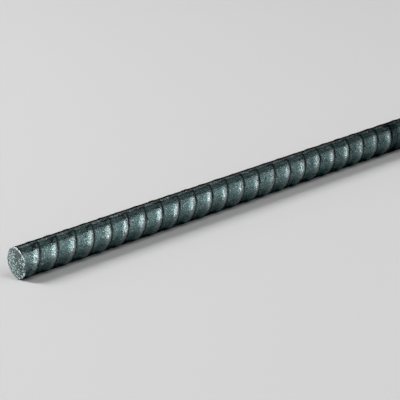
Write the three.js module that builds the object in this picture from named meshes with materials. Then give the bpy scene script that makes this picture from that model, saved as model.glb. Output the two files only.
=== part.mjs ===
// A length of hot-rolled deformed reinforcing bar, half-inch size, in millimetres.
// The bar runs along X and lies on the crest of its lower longitudinal rib. Z is up. The origin
// is under the middle of the bar, on the plane that it rests on.
// The slanted cross ribs are fine relief and are not part of this solid.

import * as THREE from 'three';

// The stock
const barLength = 609.6; // 24 inches, from cut to cut
const coreDiameter = 12.3; // the round body, between the ribs

// The longitudinal ribs, one on top and one underneath
const ribHeight = 0.5; // crest above the core
const ribCrestWidth = 1.6; // measured between the unrounded crest edges
const ribFlankLean = THREE.MathUtils.degToRad( 45 ); // lean of a flank away from the rib's middle
const ribRootRadius = 0.4; // hollow fillet between flank and core
const ribEdgeRadius = 0.3; // rolled edge between crest and flank

// The cut ends
const cutEdgeBevel = 0.2; // edge broken all round after the cut

// How finely the curves are divided
const coreChords = 44; // each side of the core, from rib to rib
const ribChords = 4; // each fillet and each rounded edge
const bevelChords = 2; // each broken edge

const coreRadius = coreDiameter / 2;
const crestRadius = coreRadius + ribHeight;

// One half of a longitudinal rib, seen along the bar, from its middle out to the core. The rib
// stands up along +Y. The flank is a straight line; the edge is an arc that touches crest and
// flank, and the root is an arc that touches flank and core from outside.
function ribHalf() {

	const crestEdge = new THREE.Vector2( ribCrestWidth / 2, crestRadius );
	const flankDown = new THREE.Vector2( Math.sin( ribFlankLean ), - Math.cos( ribFlankLean ) );
	const flankOut = new THREE.Vector2( Math.cos( ribFlankLean ), Math.sin( ribFlankLean ) );

	// The edge's centre lies one radius under the crest, and as far in as its half turn needs.
	const edgeTurn = Math.PI / 2 - ribFlankLean;
	const edgeCentre = new THREE.Vector2(
		crestEdge.x - ribEdgeRadius * Math.tan( edgeTurn / 2 ),
		crestEdge.y - ribEdgeRadius
	);
	const edge = new THREE.ArcCurve(
		edgeCentre.x, edgeCentre.y, ribEdgeRadius, Math.PI / 2, ribFlankLean, true
	);

	// The root's centre lies one radius out from the flank's line, and one from the core.
	const fromFlank = crestEdge.dot( flankOut ) + ribRootRadius;
	const fromCore = coreRadius + ribRootRadius;
	const alongFlank = - Math.sqrt( fromCore ** 2 - fromFlank ** 2 );
	const rootCentre = flankOut.clone().multiplyScalar( fromFlank )
		.addScaledVector( flankDown, alongFlank );
	const root = new THREE.ArcCurve(
		rootCentre.x, rootCentre.y, ribRootRadius,
		ribFlankLean + Math.PI, rootCentre.angle() + Math.PI, false
	);

	return [ ...edge.getPoints( ribChords ), ...root.getPoints( ribChords ) ];

}

// The closed outline of the bar's section: rib halves turned and mirrored about the bar's axis,
// with an arc of the core between them. It runs clockwise from the middle of the upper rib.
function barSection() {

	const upperRight = ribHalf();
	const rootEnd = upperRight[ upperRight.length - 1 ];
	const lowerRight = upperRight.map( ( p ) => new THREE.Vector2( p.x, - p.y ) ).reverse();
	const coreArc = new THREE.ArcCurve(
		0, 0, coreRadius, rootEnd.angle(), - rootEnd.angle(), true
	).getPoints( coreChords ).slice( 1, - 1 );

	const right = [ ...upperRight, ...coreArc, ...lowerRight ];
	const left = right.map( ( p ) => new THREE.Vector2( - p.x, - p.y ) );
	return new THREE.Shape( [ ...right, ...left ] );

}

function reinforcingBar() {

	const geometry = new THREE.ExtrudeGeometry( barSection(), {
		depth: barLength - 2 * cutEdgeBevel,
		steps: 1,
		bevelEnabled: true,
		bevelThickness: cutEdgeBevel,
		bevelSize: cutEdgeBevel,
		bevelOffset: - cutEdgeBevel,
		bevelSegments: bevelChords
	} );
	geometry.translate( 0, 0, cutEdgeBevel - barLength / 2 );

	const material = new THREE.MeshStandardMaterial( {
		color: 0x4b5a5c, roughness: 0.5, metalness: 0.8
	} );
	const mesh = new THREE.Mesh( geometry, material );
	mesh.name = 'reinforcing_bar';

	// The section's X and Y become the bar's Y and Z, and its extrusion runs along X.
	const across = new THREE.Vector3( 0, 1, 0 );
	const up = new THREE.Vector3( 0, 0, 1 );
	const along = new THREE.Vector3( 1, 0, 0 );
	mesh.quaternion.setFromRotationMatrix( new THREE.Matrix4().makeBasis( across, up, along ) );
	mesh.position.z = crestRadius;
	return mesh;

}

const part = new THREE.Group();
part.add( reinforcingBar() );

export default part;
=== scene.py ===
"""A length of hot-rolled deformed reinforcing bar, half-inch size, lying on a studio floor.

The bar runs along X and lies on the crest of its lower longitudinal rib. Z is up. Metres.
"""

import bpy
import numpy as np
from mathutils import Euler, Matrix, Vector


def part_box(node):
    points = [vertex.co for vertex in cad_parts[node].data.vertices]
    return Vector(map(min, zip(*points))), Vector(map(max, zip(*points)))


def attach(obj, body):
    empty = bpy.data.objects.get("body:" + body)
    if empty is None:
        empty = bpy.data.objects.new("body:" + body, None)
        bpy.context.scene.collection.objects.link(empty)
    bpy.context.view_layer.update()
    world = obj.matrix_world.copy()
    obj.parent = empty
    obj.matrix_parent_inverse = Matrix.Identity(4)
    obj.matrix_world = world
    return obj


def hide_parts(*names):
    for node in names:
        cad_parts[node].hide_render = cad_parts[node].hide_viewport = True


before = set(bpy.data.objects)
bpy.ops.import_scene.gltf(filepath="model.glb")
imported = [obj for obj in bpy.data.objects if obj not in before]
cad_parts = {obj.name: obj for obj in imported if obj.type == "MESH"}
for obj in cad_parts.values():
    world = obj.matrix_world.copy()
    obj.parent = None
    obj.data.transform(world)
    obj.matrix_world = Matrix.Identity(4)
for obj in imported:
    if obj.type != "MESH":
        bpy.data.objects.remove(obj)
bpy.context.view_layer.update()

MM = 0.001

# The bar's main sizes, from the frame: the core across Y, the longitudinal ribs across Z
lowest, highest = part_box("reinforcing_bar")
NEAR_END = lowest[0]
FAR_END = highest[0]
CORE_RADIUS = (highest[1] - lowest[1]) / 2
CREST_RADIUS = (highest[2] - lowest[2]) / 2
AXIS_HEIGHT = (highest[2] + lowest[2]) / 2

# Longitudinal ribs, as rolled
RIB_CREST_WIDTH = 1.6 * MM
RIB_FLANK_LEAN = np.radians(45)
RIB_ROOT_RADIUS = 0.4 * MM
RIB_EDGE_RADIUS = 0.3 * MM

# Cross ribs, as rolled. The flank towards the near end is the longer one, because the rolls
# drag the steel that way. A higher sweep makes a flank's foot more hollow.
CROSS_PITCH = 8.62 * MM
CROSS_RISE = 0.57 * MM
CROSS_RISE_LOSS = 0.4  # share of the rise that is lost at the longitudinal ribs
CROSS_CREST_WIDTH = 0.85 * MM
CROSS_CREST_TURN = 1.5  # the higher, the more softly a flank turns into the crest
CROSS_NEAR_RUN = 4.1 * MM
CROSS_NEAR_SWEEP = 3.6
CROSS_FAR_RUN = 1.8 * MM
CROSS_FAR_SWEEP = 3.4
CROSS_LEAN = np.radians(22)
CROSS_RADIUS = 6.43 * MM  # to the middle of a cross rib's width, where the lean is measured
FIRST_CROSS_RIB = 5.33 * MM  # its crest, from the near end, at the bar's sides

# Small unevenness from rolling: how far it goes, and its random waves. A line of waves gives
# their length, their count and their seed, and each wave's length varies by the spread.
WAVE_SPREAD = (0.7, 1.4)
PITCH_WANDER = 0.11 * MM
SLOW_WANDER = (14 * MM, 12, 3)
QUICK_WANDER = (4 * MM, 12, 5)
QUICK_WANDER_SHARE = 0.5
RISE_WANDER = 0.09
RISE_WAVES = (6 * MM, 16, 8)
SKIN_LUMPS = 0.02 * MM
LUMP_WAVES = (2.6 * MM, 24, 13)

# Bars rub on each other at their longitudinal and cross ribs, which are rubbed paler. Going up
# or down from the bar's sides, the cross ribs' rubbing starts to fade and ends at these angles:
# painted shade on the cross ribs towards the top and bottom of the bar.
RUB_FADES_INTO_PAINTED_SHADE = np.radians(46)
RUB_ENDS_IN_PAINTED_SHADE = np.radians(66)

# The cut ends. The shear pulls the skin round the edge where its blade enters, and leaves a
# ragged burr on the opposite edge, where it comes out. Waves are given as above.
CUT_SLANT = 0.02  # how much further out the cut stands for each unit towards +Y
CUT_ROUGHNESS = 0.08 * MM
COARSE_BREAK = (2.4 * MM, 24, 21)
FINE_BREAK = (1.2 * MM, 24, 22)
FINE_BREAK_SHARE = 0.7
EDGE_RADIUS = 0.15 * MM
PULLED_RADIUS = 0.9 * MM
PULLED_DEPTH = 0.2 * MM
BURR_ANGLE = np.radians(123)  # the burr's middle, from +Y towards +Z
BURR_SPREAD = np.radians(42)  # to each side of it
BURR_REACH = 0.16 * MM  # past the end
BURR_FLARE = 0.05 * MM  # outward
BURR_DEPTH = 0.5 * MM  # back along the skin
BEAD_WAVES = (1.5 * MM, 16, 31)
BEAD_MIDDLE = 0.75  # a bead's share of the burr, how far it swings, and its limits
BEAD_SWING = 0.45
BEAD_LIMITS = (0.1, 1.6)
BURR_BRIGHTENING = 1.5  # how soon a bead counts as bright burr

# The steel's patterns, each about from one spot to the next. A pixel of the view covers 0.6 mm
# of the bar, so all but the patches and the torn lumps are too fine to show at their real size,
# which stands beside each, and are drawn as coarse as they need to show.
SCALE_PATCHES = 4.8 * MM  # thicker and thinner scale
ROLL_PEBBLES = 0.67 * MM  # pebbles from worn rolls, really about 0.3 mm
GLOSS_FLECKS = 0.42 * MM  # duller and glossier scale, really about 0.1 mm
SCALE_PITS = 0.9 * MM  # pits where scale has flaked off, really 0.1 to 0.5 mm
SCALE_CRYSTALS = 0.48 * MM  # flat crystals that glint, really about 0.05 mm
BROKEN_GRAINS = 0.52 * MM  # grains of broken steel, really about 0.05 mm
TORN_LUMPS = 2.4 * MM  # ragged border of the wiped side
FLASHING_GRAINS = 0.57 * MM  # broken grains that flash, really about 0.05 mm

# Their relief, their gloss as roughness, and how strongly some of them show
PEBBLE_HEIGHT = 0.17 * MM
GRAIN_HEIGHT = 0.5 * MM
DULL_SCALE = 0.28
GLOSSY_SCALE = 0.15
SHEARED_ROUGHNESS = 0.38
WEAKEST_PEBBLES = 0.5  # share of their relief that is left where they are weakest
RUBBED_SHARE = 0.32
GLINT_SHARE = 0.34

# Where a pattern starts to show and where it is fully there: levels of its noise, which is
# seldom outside 0.35 to 0.65, and of the rubbing
NOISE_RANGE = (0.35, 0.65)
PIT_LEVELS = (0.37, 0.31)
GLINT_LEVELS = (0.64, 0.72)
GRAIN_LEVELS = (0.45, 0.6)
FLASH_LEVELS = (0.6, 0.62)
RUBBED_LEVELS = (0.2, 0.8)

# Darker scale in narrow bands along the bar. Round each band lies a fainter painted shade:
# darker scale that stands in for the light falling off along the bar
DARK_BAND = NEAR_END + 199.5 * MM
DARK_BAND_SPACING = 300 * MM
PAINTED_SHADE_REACH = 65 * MM
PAINTED_SHADE_SHARE = 0.3
DARK_BAND_WIDTH = 5 * MM
DARK_BAND_SHARE = 0.72

# The blade's marks on a cut face: it wipes the side that it enters, and leaves a smooth smear
# below the near end's burr
WIPE_DIRECTION = (0, 0.94, -0.34)
WIPE_START = -1.0 * MM
WIPE_END = 3.0 * MM
WIPE_RAGGEDNESS = 4 * MM
SMEAR_MIDDLE = (NEAR_END, -1.2 * MM, 11.0 * MM)
SMEAR_RADIUS = 1.6 * MM
SMEAR_REACH = 2.6 * MM
SMEAR_SHARE = 0.9

# How finely the surfaces are divided
CORE_CHORDS = 27
EDGE_CHORDS = 2
ROOT_CHORDS = 3
FLANK_STEPS = 6
VALLEY_STEPS = 2
NEAR_WEDGE_STEPS = 28
FAR_WEDGE_STEPS = 16
WEDGE_GROWTH = 1.5  # steps near a cut start small and grow by this power
CUT_RINGS = 16
BURR_RINGS = 2  # rings of a cut face that are coloured as burr
FIRST_STEP = 0.06 * MM
WEDGE_CLEARANCE = 4 * FIRST_STEP

# The studio. Each lamp is a soft box that faces the bar's axis. Seen from the axis at the lamps'
# X, it reaches from its left to its right angle along the bar, counted from square to it, and
# from its bottom to its top angle round the bar, counted from the front. Angles in degrees.
LAMPS_X = -0.2
LAMPS_AWAY = 2.0
LAMPS = (  # name, left, right, bottom, top, radiance
    ("front_bank", 21, 40, 0, 76, 1.66),
    ("key", -3, 10, 0, 76, 6.9),
    ("rear_fill", 28, 46, 95, 116, 0.5),
    ("rear_glow", 20, 28, 95, 116, 0.95),
    ("high_fill", 46, 68, 56, 130, 0.25),
    ("right_fill", 46, 62, 15, 76, 0.3),
    ("back_lamp", -30, -14, 112, 145, 24.0),
    ("low_back_fill", -60, 60, 150, 176, 0.8),
)
ROOM_LIGHT = 0.06
FLOOR_REACH = 12.0  # from its middle, each way
FLOOR_GAP = 0.02 * MM  # below the bar, so that the two don't share a plane


# ---------------------------------------------------------------- surfaces

def arc(centre, radius, start, stop, chords):
    """Points centre + radius (cos a, sin a), for angles a in equal steps from start to stop."""
    a = np.linspace(start, stop, chords + 1)
    return np.stack([centre[0] + radius * np.cos(a), centre[1] + radius * np.sin(a)], axis=1)


def rib_half():
    """One half of a longitudinal rib in the section, from its crest's edge out to the core.

    The edge is an arc that touches the level crest and the leaning flank. The root is an arc
    that touches the flank's line and, from outside, the core's circle.
    """
    crest_edge = np.array([RIB_CREST_WIDTH / 2, CREST_RADIUS])
    flank_down = np.array([np.sin(RIB_FLANK_LEAN), -np.cos(RIB_FLANK_LEAN)])
    flank_out = np.array([np.cos(RIB_FLANK_LEAN), np.sin(RIB_FLANK_LEAN)])
    edge_in = RIB_EDGE_RADIUS * np.tan((np.pi / 2 - RIB_FLANK_LEAN) / 2)
    edge_centre = crest_edge - np.array([edge_in, RIB_EDGE_RADIUS])
    edge = arc(edge_centre, RIB_EDGE_RADIUS, np.pi / 2, RIB_FLANK_LEAN, EDGE_CHORDS)

    from_flank = crest_edge @ flank_out + RIB_ROOT_RADIUS
    from_core = CORE_RADIUS + RIB_ROOT_RADIUS
    along_flank = -np.sqrt(from_core ** 2 - from_flank ** 2)
    root_centre = flank_out * from_flank + flank_down * along_flank
    core_side = np.arctan2(root_centre[1], root_centre[0])
    root = arc(root_centre, RIB_ROOT_RADIUS, RIB_FLANK_LEAN + np.pi, core_side + np.pi,
               ROOT_CHORDS)
    return np.concatenate([edge, root])


def section_outline():
    """The plain section, (n, 2) points of Y and Z about the bar's axis, without cross ribs.

    It runs once round, from the middle of the lower crest over +Y to the upper crest and back:
    half a rib, an arc of the core, half a rib, and then the same turned by half a turn.
    """
    upper = rib_half()[::-1]
    lower = rib_half() * np.array([1, -1])
    core_angle = np.arctan2(upper[0, 1], upper[0, 0])
    core = arc((0, 0), CORE_RADIUS, -core_angle, core_angle, CORE_CHORDS)[1:-1]
    crest_middle = np.array([[0, -CREST_RADIUS]])
    right = np.concatenate([crest_middle, lower, core, upper])
    return np.concatenate([right, -right])


def cross_lean(angle):
    """How far along X a cross rib has moved at an angle round the section.

    The tangent of the lean times the arc from the +Y side: it grows up one side of the bar and
    falls back down the other, because the ribs of the two sides are rolled in reverse.
    """
    return np.tan(CROSS_LEAN) * CROSS_RADIUS * np.arcsin(np.sin(angle))


def cross_profile(offset):
    """A cross rib's height from 0 to 1, at an offset along X from the middle of its crest.

    Each flank is 1 - (1 - t ** sweep) ** turn. t is the share of the flank's run, from 0 at the
    foot to 1 at the crest. The sweep makes the foot hollow, and the turn rounds the flank
    quickly into the level crest.
    """
    run = np.where(offset < 0, CROSS_NEAR_RUN, CROSS_FAR_RUN)
    sweep = np.where(offset < 0, CROSS_NEAR_SWEEP, CROSS_FAR_SWEEP)
    left = (CROSS_CREST_WIDTH / 2 + run - np.abs(offset)) / run
    return 1 - (1 - np.clip(left, 0, 1) ** sweep) ** CROSS_CREST_TURN


def waves(points, length, count, seed):
    """Smooth unevenness of about -1 to 1 at the points, (n, 3).

    The sum of count sine waves over the root of count. They run in random directions, start
    anywhere, and are as long as length times a random share from the wave spread.
    """
    draw = np.random.default_rng(seed)
    direction = draw.normal(size=(3, count))
    direction /= np.linalg.norm(direction, axis=0)
    turns = direction * (2 * np.pi / (length * draw.uniform(*WAVE_SPREAD, count)))
    start = draw.uniform(0, 2 * np.pi, count)
    return np.sin(points @ turns + start).sum(axis=1) / np.sqrt(count)


def rib_stations():
    """Offsets along X in one pitch where the surface is divided, from one valley to the next."""
    half = CROSS_CREST_WIDTH / 2
    near = -half - np.linspace(CROSS_NEAR_RUN, 0, FLANK_STEPS + 1)
    far = half + np.linspace(0, CROSS_FAR_RUN, FLANK_STEPS + 1)
    valley = np.linspace(far[-1], CROSS_PITCH + near[0], VALLEY_STEPS + 1)[1:-1]
    return np.concatenate([near, [0.0], far, valley])


def along_bar(angle):
    """X of every division of the skin, (columns, rows), for the rows' angles.

    In the middle stretch the divisions follow the cross ribs. Near each end, where they would
    run past the cut, they turn into the square cut, in steps that grow as a power of their
    number from the cut.
    """
    first = NEAR_END + FIRST_CROSS_RIB
    number = np.arange(-1, int((FAR_END - NEAR_END) / CROSS_PITCH) + 1)
    middles = (first + CROSS_PITCH * number[:, None] + rib_stations()[None, :]).ravel()
    reach = cross_lean(np.pi / 2) + WEDGE_CLEARANCE
    inside = middles[(middles - reach > NEAR_END) & (middles + reach < FAR_END)]
    leaning = inside[:, None] + cross_lean(angle)[None, :]

    near_share = np.linspace(0, 1, NEAR_WEDGE_STEPS + 1)[:-1, None] ** WEDGE_GROWTH
    near = NEAR_END + FIRST_STEP + near_share * (leaning[0] - NEAR_END - FIRST_STEP)
    far_steps = np.linspace(0, 1, FAR_WEDGE_STEPS + 1)[1:, None]
    far_share = (1 - far_steps) ** WEDGE_GROWTH
    far = FAR_END - FIRST_STEP - far_share * (FAR_END - FIRST_STEP - leaning[-1])
    return np.concatenate([near, leaning, far])


def bar_skin():
    """The bar's side, as (columns, rows, 3) points, and how much each point is rubbed, 0 to 1.

    A point of the plain section moves outward where a cross rib stands higher than it. The
    ribs' rise falls off as the fourth power of the sine of the angle from the bar's sides.
    Slow waves then shift the ribs along X, change their height and make the skin uneven.
    Rubbing is the height above the core as a share of a cross rib's rise. That of the cross
    ribs fades evenly between two angles from the bar's sides, which paints shade on the cross
    ribs towards the top and bottom of the bar.
    """
    outline = section_outline()
    radius = np.linalg.norm(outline, axis=1)
    angle = np.arctan2(outline[:, 1], outline[:, 0])
    x = along_bar(angle)

    sides = np.broadcast_to(outline, x.shape + (2,))
    points = np.concatenate([x[..., None], sides], axis=2).reshape(-1, 3)
    wander = waves(points, *SLOW_WANDER) + QUICK_WANDER_SHARE * waves(points, *QUICK_WANDER)
    rise_change = 1 + RISE_WANDER * waves(points, *RISE_WAVES)
    lumps = waves(points, *LUMP_WAVES)

    foot = CROSS_CREST_WIDTH / 2 + CROSS_NEAR_RUN
    offset = x - cross_lean(angle) - NEAR_END - FIRST_CROSS_RIB + foot
    offset = offset - CROSS_PITCH * np.floor(offset / CROSS_PITCH) - foot
    rise = CROSS_RISE * (1 - CROSS_RISE_LOSS * np.sin(angle) ** 4)
    rib = rise * cross_profile(offset) * rise_change.reshape(x.shape)
    new_radius = np.maximum(radius, CORE_RADIUS + rib) + SKIN_LUMPS * lumps.reshape(x.shape)

    end_distance = np.minimum(x - NEAR_END, FAR_END - x) / CROSS_PITCH
    x = x + PITCH_WANDER * wander.reshape(x.shape) * np.clip(end_distance, 0, 1)
    side = sides * (new_radius / radius)[..., None]
    # The cross ribs' rubbing fades towards the top and bottom of the bar: painted shade there
    from_side = np.abs(np.arcsin(np.sin(angle)))
    left = np.clip((RUB_ENDS_IN_PAINTED_SHADE - from_side) / (RUB_ENDS_IN_PAINTED_SHADE - RUB_FADES_INTO_PAINTED_SHADE), 0, 1)
    rub_with_painted_shade = np.maximum(radius - CORE_RADIUS, rib * left) / CROSS_RISE
    return np.concatenate([x[..., None], side], axis=2), np.clip(rub_with_painted_shade, 0, 1)


def sheared_edge(points, end, outward):
    """Shapes the points, (..., 3), that are near a cut end, as the shear leaves its edge.

    The edge is a quarter ellipse seen from the side. It is small at the burr and swells to the
    pulled radius and depth on the opposite side, as the square of half of one minus the cosine
    of the angle from the burr. The burr flares outward and stands past the end in beads, as the
    root of the share of its spread that is left, and as the square of that of its depth. The
    slant of the cut fades out over one pitch. outward is the end's way along X, -1 or 1.
    Returns the points, and how much each is part of the burr, 0 to 1.
    """
    depth = np.abs(points[..., 0] - end)
    radius = np.linalg.norm(points[..., 1:], axis=-1)
    angle = np.arctan2(points[..., 2], points[..., 1])
    away = (1 - np.cos(angle - BURR_ANGLE)) / 2
    edge = EDGE_RADIUS + (PULLED_RADIUS - EDGE_RADIUS) * away ** 2
    edge_depth = EDGE_RADIUS + (PULLED_DEPTH - EDGE_RADIUS) * away ** 2
    left = np.clip(1 - depth / edge_depth, 0, 1)
    inset = edge * (1 - np.sqrt(1 - left ** 2))

    flat = points.reshape(-1, 3)
    beads = BEAD_MIDDLE + BEAD_SWING * waves(flat, *BEAD_WAVES).reshape(depth.shape)
    spread = (1 - np.cos(BURR_SPREAD)) / 2
    burr = np.clip(1 - away / spread, 0, 1) ** 0.5 * np.clip(beads, *BEAD_LIMITS)
    burr = burr * np.clip(1 - depth / BURR_DEPTH, 0, 1) ** 2
    change = (BURR_FLARE * burr - inset) / radius
    shaped = points * np.stack([np.ones_like(change), 1 + change, 1 + change], axis=-1)
    slant = CUT_SLANT * points[..., 1] * np.clip(1 - depth / CROSS_PITCH, 0, 1)
    shaped[..., 0] += outward * (BURR_REACH * burr + slant)
    return shaped, np.clip(BURR_BRIGHTENING * burr, 0, 1)


def cut_face(rim, end, outward):
    """A cut end as (rings, rows, 3) points, from its rim in towards the bar's axis.

    Each ring is the rim's outline times a share that falls evenly from 1. The face slants, and
    is uneven along X except at the rim: it lies deeper by one plus a coarse and a fine wave.
    """
    share = np.linspace(1, 0, CUT_RINGS + 1)[:-1, None]
    face = np.stack([np.full(share.shape, end) + 0 * rim[:, 0], share * rim[:, 1],
                     share * rim[:, 2]], axis=-1)
    flat = face.reshape(-1, 3)
    rough = waves(flat, *COARSE_BREAK) + FINE_BREAK_SHARE * waves(flat, *FINE_BREAK)
    relief = CUT_SLANT * face[..., 1] - CUT_ROUGHNESS * (1 + rough.reshape(face.shape[:2]))
    face[..., 0] += outward * relief
    face[0] = rim
    return face


def grid_faces(columns, rows):
    """Quads of a tube of columns by rows points, closed round its rows."""
    i, j = np.meshgrid(np.arange(columns - 1), np.arange(rows), indexing="ij")
    k = (j + 1) % rows
    quads = np.stack([i * rows + j, i * rows + k, (i + 1) * rows + k, (i + 1) * rows + j], axis=-1)
    return quads.reshape(-1, 4)


def build_bar():
    """The whole bar as one closed mesh: near cut face, skin, far cut face.

    All three are columns of points with the same rows, so they join into one tube, and a fan
    of triangles closes each of its ends at a pole on the axis.
    """
    skin, rub_with_painted_shade = bar_skin()
    columns, rows = rub_with_painted_shade.shape
    near_rim = skin[0] * np.array([0, 1, 1]) + np.array([NEAR_END, 0, 0])
    far_rim = skin[-1] * np.array([0, 1, 1]) + np.array([FAR_END, 0, 0])
    near_rim, near_rim_burr = sheared_edge(near_rim, NEAR_END, -1)
    far_rim, far_rim_burr = sheared_edge(far_rim, FAR_END, 1)
    skin, near_burr = sheared_edge(skin, NEAR_END, -1)
    skin, far_burr = sheared_edge(skin, FAR_END, 1)
    near_face = cut_face(near_rim, NEAR_END, -1)[::-1]
    far_face = cut_face(far_rim, FAR_END, 1)

    tube = np.concatenate([near_face, skin, far_face])
    skin_end = CUT_RINGS + columns
    tube_rub_with_painted_shade = np.zeros(tube.shape[:2])
    tube_rub_with_painted_shade[CUT_RINGS:skin_end] = rub_with_painted_shade
    tube_burr = np.zeros(tube.shape[:2])
    tube_burr[CUT_RINGS:skin_end] = np.maximum(near_burr, far_burr)
    tube_burr[CUT_RINGS - BURR_RINGS:CUT_RINGS] = near_rim_burr
    tube_burr[skin_end:skin_end + BURR_RINGS] = far_rim_burr
    points = tube.reshape(-1, 3)
    poles = np.array([near_face[0].mean(axis=0), far_face[-1].mean(axis=0)])
    verts = np.concatenate([points, poles]) + np.array([0, 0, AXIS_HEIGHT])

    quads = grid_faces(len(tube), rows)
    around = np.arange(rows)
    after = (around + 1) % rows
    last = (len(tube) - 1) * rows
    near_fan = np.stack([around, np.full(rows, len(points)), after], axis=1)
    far_fan = np.stack([last + around, last + after, np.full(rows, len(points) + 1)], axis=1)

    mesh = bpy.data.meshes.new("reinforcing_bar_skin")
    faces = quads.tolist() + near_fan.tolist() + far_fan.tolist()
    mesh.from_pydata(verts.tolist(), [], faces)
    at_poles = [0, 0]
    for name, values in (("rub_with_painted_shade", tube_rub_with_painted_shade), ("burr", tube_burr)):
        shown = np.concatenate([values.ravel(), at_poles]).astype(np.float32)
        mesh.attributes.new(name, "FLOAT", "POINT").data.foreach_set("value", shown)

    # The skin takes the first material, and the cut faces with their fans the second.
    column_of = np.repeat(np.arange(len(tube) - 1), rows)
    cut = (column_of < CUT_RINGS) | (column_of >= skin_end - 1)
    slots = np.concatenate([cut, np.ones(2 * rows, dtype=bool)]).astype(np.int32)
    mesh.polygons.foreach_set("material_index", slots)
    mesh.polygons.foreach_set("use_smooth", np.ones(len(faces), dtype=bool))
    mesh.validate()
    mesh.update()
    return mesh


# ---------------------------------------------------------------- finishes

def colour(text):
    """A colour written as sRGB hex, such as #2F3B3F, as linear red, green, blue and alpha."""
    srgb = np.array([int(text[i:i + 2], 16) for i in (1, 3, 5)]) / 255
    linear = np.where(srgb <= 0.04045, srgb / 12.92, ((srgb + 0.055) / 1.055) ** 2.4)
    return (*linear.tolist(), 1.0)


def add(tree, kind, settings=None, **inputs):
    """Adds a node of a kind, with its own settings and its inputs.

    An input is a value or a socket to link. It is named as in Blender, with _ for a space, or
    by its number after an i, such as i6 and i7 for the two colours of a Mix node.
    """
    node = tree.nodes.new(kind)
    for name, value in (settings or {}).items():
        setattr(node, name, value)
    for name, value in inputs.items():
        key = int(name[1:]) if name[0] == "i" and name[1:].isdigit() else name.replace("_", " ")
        socket = node.inputs[key]
        if isinstance(value, bpy.types.NodeSocket):
            tree.links.new(value, socket)
        else:
            socket.default_value = value
    return node


def new_material(name):
    """An empty node material, and its tree."""
    material = bpy.data.materials.new(name)
    material.use_nodes = True
    material.node_tree.nodes.clear()
    return material, material.node_tree


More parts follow.
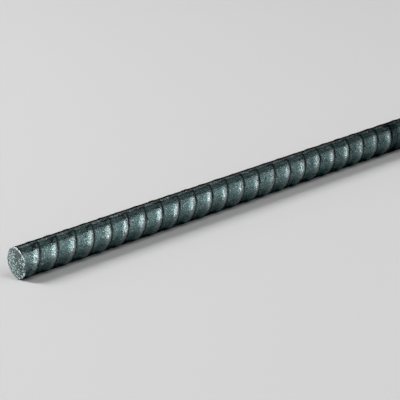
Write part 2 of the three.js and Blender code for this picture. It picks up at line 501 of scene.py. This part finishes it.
def mill_scale():
    """Hot-rolled mild steel under its mill scale: a thin, dark blue-grey oxide with a dull gloss.

    The scale mirrors a blurred room and goes dark at a glancing angle, where its grain shades
    itself. It has a pebbly grain from the rolls, stronger in some places than in others. It is
    patchy in colour, with flat crystals that glint and small dark pits. It is darker in narrow
    bands, and round each band lies a fainter painted shade: darker scale that stands in for the
    light falling off along the bar. The ribs are rubbed paler, but their rubbing fades towards
    the top and bottom of the bar as painted shade. The burr is bright.
    """
    material, tree = new_material("hot_rolled_mill_scale")
    place = add(tree, "ShaderNodeTexCoord").outputs["Object"]
    patches = add(tree, "ShaderNodeTexNoise", Vector=place, Scale=1 / SCALE_PATCHES, Detail=4.0)
    pebbles = add(tree, "ShaderNodeTexNoise", Vector=place, Scale=1 / ROLL_PEBBLES, Detail=3.0)
    flecks = add(tree, "ShaderNodeTexNoise", Vector=place, Scale=1 / GLOSS_FLECKS, Detail=1.0)
    pits = add(tree, "ShaderNodeTexNoise", Vector=place, Scale=1 / SCALE_PITS, Detail=2.0)
    crystals = add(tree, "ShaderNodeTexNoise", Vector=place, Scale=1 / SCALE_CRYSTALS, Detail=0.0)
    rub_and_shade_attribute = add(tree, "ShaderNodeAttribute", {"attribute_name": "rub_with_painted_shade"})
    burr = add(tree, "ShaderNodeAttribute", {"attribute_name": "burr"})

    # Colour of the scale, from thick to thin, with its rubbed ribs, its pits and its glints. The
    # rubbing carries painted shade towards the top and bottom of the bar
    tone = add(tree, "ShaderNodeMix", {"data_type": "RGBA"}, i0=patches.outputs["Fac"],
               i6=colour("#3C5556"), i7=colour("#607475"))
    rub_and_painted_shade_share = add(tree, "ShaderNodeMapRange", Value=rub_and_shade_attribute.outputs["Fac"],
                  From_Min=RUBBED_LEVELS[0], From_Max=RUBBED_LEVELS[1],
                  To_Max=RUBBED_SHARE)
    rub_with_painted_shade = add(tree, "ShaderNodeMix", {"data_type": "RGBA"}, i0=rub_and_painted_shade_share.outputs["Result"],
                 i6=tone.outputs[2], i7=colour("#928F8F"))
    in_pit = add(tree, "ShaderNodeMapRange", Value=pits.outputs["Fac"],
                 From_Min=PIT_LEVELS[0], From_Max=PIT_LEVELS[1])
    pitted = add(tree, "ShaderNodeMix", {"data_type": "RGBA"}, i0=in_pit.outputs["Result"],
                 i6=rub_with_painted_shade.outputs[2], i7=colour("#2A3234"))
    glinting = add(tree, "ShaderNodeMapRange", Value=crystals.outputs["Fac"],
                   From_Min=GLINT_LEVELS[0], From_Max=GLINT_LEVELS[1],
                   To_Max=GLINT_SHARE)
    glinted = add(tree, "ShaderNodeMix", {"data_type": "RGBA"}, i0=glinting.outputs["Result"],
                  i6=pitted.outputs[2], i7=colour("#D2D2D1"))

    # Narrow darker bands: first the distance along X to the nearest one. Then a faint painted
    # shade for some way on both sides, standing in for the light falling off along the bar, and a
    # strong darkening in the band
    along = add(tree, "ShaderNodeSeparateXYZ", Vector=place)
    past_band = add(tree, "ShaderNodeMath", {"operation": "SUBTRACT"}, i0=along.outputs["X"],
                    i1=DARK_BAND)
    from_band = add(tree, "ShaderNodeMath", {"operation": "PINGPONG"},
                    i0=past_band.outputs["Value"], i1=DARK_BAND_SPACING / 2)
    # Painted shade: darker scale for the light falling off along the bar
    painted_shade_around_band = add(tree, "ShaderNodeMapRange", Value=from_band.outputs["Value"],
                      From_Min=PAINTED_SHADE_REACH, From_Max=0.0, To_Max=PAINTED_SHADE_SHARE)
    in_dark_band = add(tree, "ShaderNodeMapRange", Value=from_band.outputs["Value"],
                  From_Min=DARK_BAND_WIDTH, From_Max=DARK_BAND_WIDTH / 2,
                  To_Max=DARK_BAND_SHARE)
    band_and_painted_shade = add(tree, "ShaderNodeMath", {"operation": "MAXIMUM"},
               i0=painted_shade_around_band.outputs["Result"], i1=in_dark_band.outputs["Result"])
    banded_and_shaded = add(tree, "ShaderNodeMix", {"data_type": "RGBA"}, i0=band_and_painted_shade.outputs["Value"],
                 i6=glinted.outputs[2], i7=colour("#1F292B"))
    whole = add(tree, "ShaderNodeMix", {"data_type": "RGBA"}, i0=burr.outputs["Fac"],
                i6=banded_and_shaded.outputs[2], i7=colour("#A8B8B5"))

    # Gloss that changes from fleck to fleck, and the pebbles, which the patches make stronger
    gloss = add(tree, "ShaderNodeMapRange", Value=flecks.outputs["Fac"],
                From_Min=NOISE_RANGE[0], From_Max=NOISE_RANGE[1],
                To_Min=DULL_SCALE, To_Max=GLOSSY_SCALE)
    pebbly = add(tree, "ShaderNodeMapRange", Value=patches.outputs["Fac"],
                 From_Min=NOISE_RANGE[0], From_Max=NOISE_RANGE[1],
                 To_Min=WEAKEST_PEBBLES, To_Max=1.0)
    bump = add(tree, "ShaderNodeBump", Strength=pebbly.outputs["Result"],
               Distance=PEBBLE_HEIGHT, Height=pebbles.outputs["Fac"])

    # The black tint is that of a glancing angle
    shader = add(tree, "ShaderNodeBsdfPrincipled", Base_Color=whole.outputs[2], Metallic=1.0,
                 Roughness=gloss.outputs["Result"], Normal=bump.outputs["Normal"],
                 Specular_Tint=colour("#000000"))
    add(tree, "ShaderNodeOutputMaterial", Surface=shader.outputs["BSDF"])
    return material


def sheared_steel():
    """Bare mild steel where the shear has cut it: a dull grey-green face full of bright specks.

    The steel breaks away in coarse grains, some dull and some that flash. The blade wipes the
    side that it enters paler, up to a ragged border, and leaves a smooth smear below the burr.
    The burr is bright.
    """
    material, tree = new_material("sheared_steel")
    place = add(tree, "ShaderNodeTexCoord").outputs["Object"]
    grains = add(tree, "ShaderNodeTexNoise", Vector=place, Scale=1 / BROKEN_GRAINS, Detail=2.0)
    lumps = add(tree, "ShaderNodeTexNoise", Vector=place, Scale=1 / TORN_LUMPS, Detail=3.0)
    specks = add(tree, "ShaderNodeTexNoise", Vector=place, Scale=1 / FLASHING_GRAINS, Detail=0.0)
    burr = add(tree, "ShaderNodeAttribute", {"attribute_name": "burr"})

    # The broken grains and the paler wiped ones, and the border between them
    grain_share = add(tree, "ShaderNodeMapRange", Value=grains.outputs["Fac"],
                      From_Min=GRAIN_LEVELS[0], From_Max=GRAIN_LEVELS[1])
    broken = add(tree, "ShaderNodeMix", {"data_type": "RGBA"}, i0=grain_share.outputs["Result"],
                 i6=colour("#061C1C"), i7=colour("#8AA5A4"))
    pale = add(tree, "ShaderNodeMix", {"data_type": "RGBA"}, i0=grain_share.outputs["Result"],
               i6=colour("#3A5656"), i7=colour("#B4D0CF"))
    across = add(tree, "ShaderNodeVectorMath", {"operation": "DOT_PRODUCT"}, i0=place,
                 i1=WIPE_DIRECTION)
    ragged = add(tree, "ShaderNodeMath", {"operation": "MULTIPLY_ADD"}, i0=lumps.outputs["Fac"],
                 i1=WIPE_RAGGEDNESS, i2=across.outputs["Value"])
    wiping = add(tree, "ShaderNodeMapRange", Value=ragged.outputs["Value"],
                 From_Min=WIPE_START, From_Max=WIPE_END)
    wiped = add(tree, "ShaderNodeMix", {"data_type": "RGBA"}, i0=wiping.outputs["Result"],
                i6=broken.outputs[2], i7=pale.outputs[2])

    # Specks that flash, the smear and the burr
    flashing = add(tree, "ShaderNodeMapRange", Value=specks.outputs["Fac"],
                   From_Min=FLASH_LEVELS[0], From_Max=FLASH_LEVELS[1])
    flashed = add(tree, "ShaderNodeMix", {"data_type": "RGBA"}, i0=flashing.outputs["Result"],
                  i6=wiped.outputs[2], i7=colour("#F0FFFE"))
    from_smear = add(tree, "ShaderNodeVectorMath", {"operation": "DISTANCE"}, i0=place,
                     i1=SMEAR_MIDDLE)
    smearing = add(tree, "ShaderNodeMapRange", Value=from_smear.outputs["Value"],
                   From_Min=SMEAR_REACH, From_Max=SMEAR_RADIUS, To_Max=SMEAR_SHARE)
    smeared = add(tree, "ShaderNodeMix", {"data_type": "RGBA"}, i0=smearing.outputs["Result"],
                  i6=flashed.outputs[2], i7=colour("#6E7A7E"))
    whole = add(tree, "ShaderNodeMix", {"data_type": "RGBA"}, i0=burr.outputs["Fac"],
                i6=smeared.outputs[2], i7=colour("#F4FFFE"))

    bump = add(tree, "ShaderNodeBump", Strength=1.0, Distance=GRAIN_HEIGHT,
               Height=grains.outputs["Fac"])
    shader = add(tree, "ShaderNodeBsdfPrincipled", Base_Color=whole.outputs[2], Metallic=1.0,
                 Roughness=SHEARED_ROUGHNESS, Normal=bump.outputs["Normal"])
    add(tree, "ShaderNodeOutputMaterial", Surface=shader.outputs["BSDF"])
    return material


def floor_paint():
    """Matt pale grey floor paint, rolled on, which shows the bar's soft shadow and no gloss."""
    material, tree = new_material("matt_pale_grey_floor_paint")
    shader = add(tree, "ShaderNodeBsdfPrincipled", Base_Color=colour("#B5B5B5"), Roughness=0.9)
    add(tree, "ShaderNodeOutputMaterial", Surface=shader.outputs["BSDF"])
    return material


# ---------------------------------------------------------------- pieces and scene

def place_bar():
    """The rolled bar in place of its plain solid."""
    bar = bpy.data.objects.new("deformed_bar", build_bar())
    bpy.context.scene.collection.objects.link(bar)
    bar.data.materials.append(mill_scale())
    bar.data.materials.append(sheared_steel())
    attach(bar, "root")
    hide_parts("reinforcing_bar")


def place_floor():
    """A wide level floor under the bar."""
    x = FLOOR_REACH * np.array([-1, 1, 1, -1])
    y = FLOOR_REACH * np.array([-1, -1, 1, 1])
    corners = np.stack([x, y, np.full(4, -FLOOR_GAP)], axis=1)
    mesh = bpy.data.meshes.new("studio_floor")
    mesh.from_pydata(corners.tolist(), [], [(0, 1, 2, 3)])
    floor = bpy.data.objects.new("studio_floor", mesh)
    bpy.context.scene.collection.objects.link(floor)
    floor.data.materials.append(floor_paint())


def softbox(name, place, towards, width, height, radiance):
    """A rectangular studio lamp at a place, turned towards a point.

    Its power is pi times its area times the radiance that it shows.
    """
    lamp = bpy.data.lights.new(name, "AREA")
    lamp.shape = "RECTANGLE"
    lamp.size = width
    lamp.size_y = height
    lamp.energy = np.pi * width * height * radiance
    holder = bpy.data.objects.new(name, lamp)
    bpy.context.scene.collection.objects.link(holder)
    holder.location = place
    turn = (Vector(towards) - Vector(place)).to_track_quat("-Z", "Y")
    holder.rotation_euler = turn.to_euler()
    holder.visible_camera = False


def light_studio():
    """A dim tall bank in front of the bar to the right, a bright tall key before it, weak fills
    to the right and behind, a strong lamp behind on the left, and a dim room.

    A box lies on the plane away from the bar's axis at the middle of its two angles round the
    axis. Its sides and its height follow from the tangents of its angles.
    """
    for name, left, right, bottom, top, radiance in LAMPS:
        low, high = np.radians([bottom, top])
        rise = (low + high) / 2
        x_left, x_right = LAMPS_X + LAMPS_AWAY * np.tan(np.radians([left, right]))
        middle = (x_left + x_right) / 2
        place = (middle, -LAMPS_AWAY * np.cos(rise), LAMPS_AWAY * np.sin(rise))
        height = 2 * LAMPS_AWAY * np.tan((high - low) / 2)
        softbox(name, place, (middle, 0, 0), x_right - x_left, height, radiance)

    world = bpy.data.worlds.new("dim_room")
    world.use_nodes = True
    background = world.node_tree.nodes["Background"]
    background.inputs["Color"].default_value = colour("#FFFFFF")
    background.inputs["Strength"].default_value = ROOM_LIGHT
    bpy.context.scene.world = world


def place_camera():
    """A long lens in front of the bar's near end, looking down at the bar and along it."""
    lens = bpy.data.cameras.new("camera")
    lens.sensor_width = 36
    lens.lens = 174.55
    camera = bpy.data.objects.new("camera", lens)
    camera.location = (-0.68127, -0.59268, 0.25212)
    tilt, roll, turn = np.radians([71.967, 4.777, -39.852])
    camera.rotation_euler = Euler((tilt, roll, turn))
    bpy.context.scene.collection.objects.link(camera)
    bpy.context.scene.camera = camera


place_camera()
place_bar()
place_floor()
light_studio()
bpy.context.scene.view_settings.view_transform = "Standard"
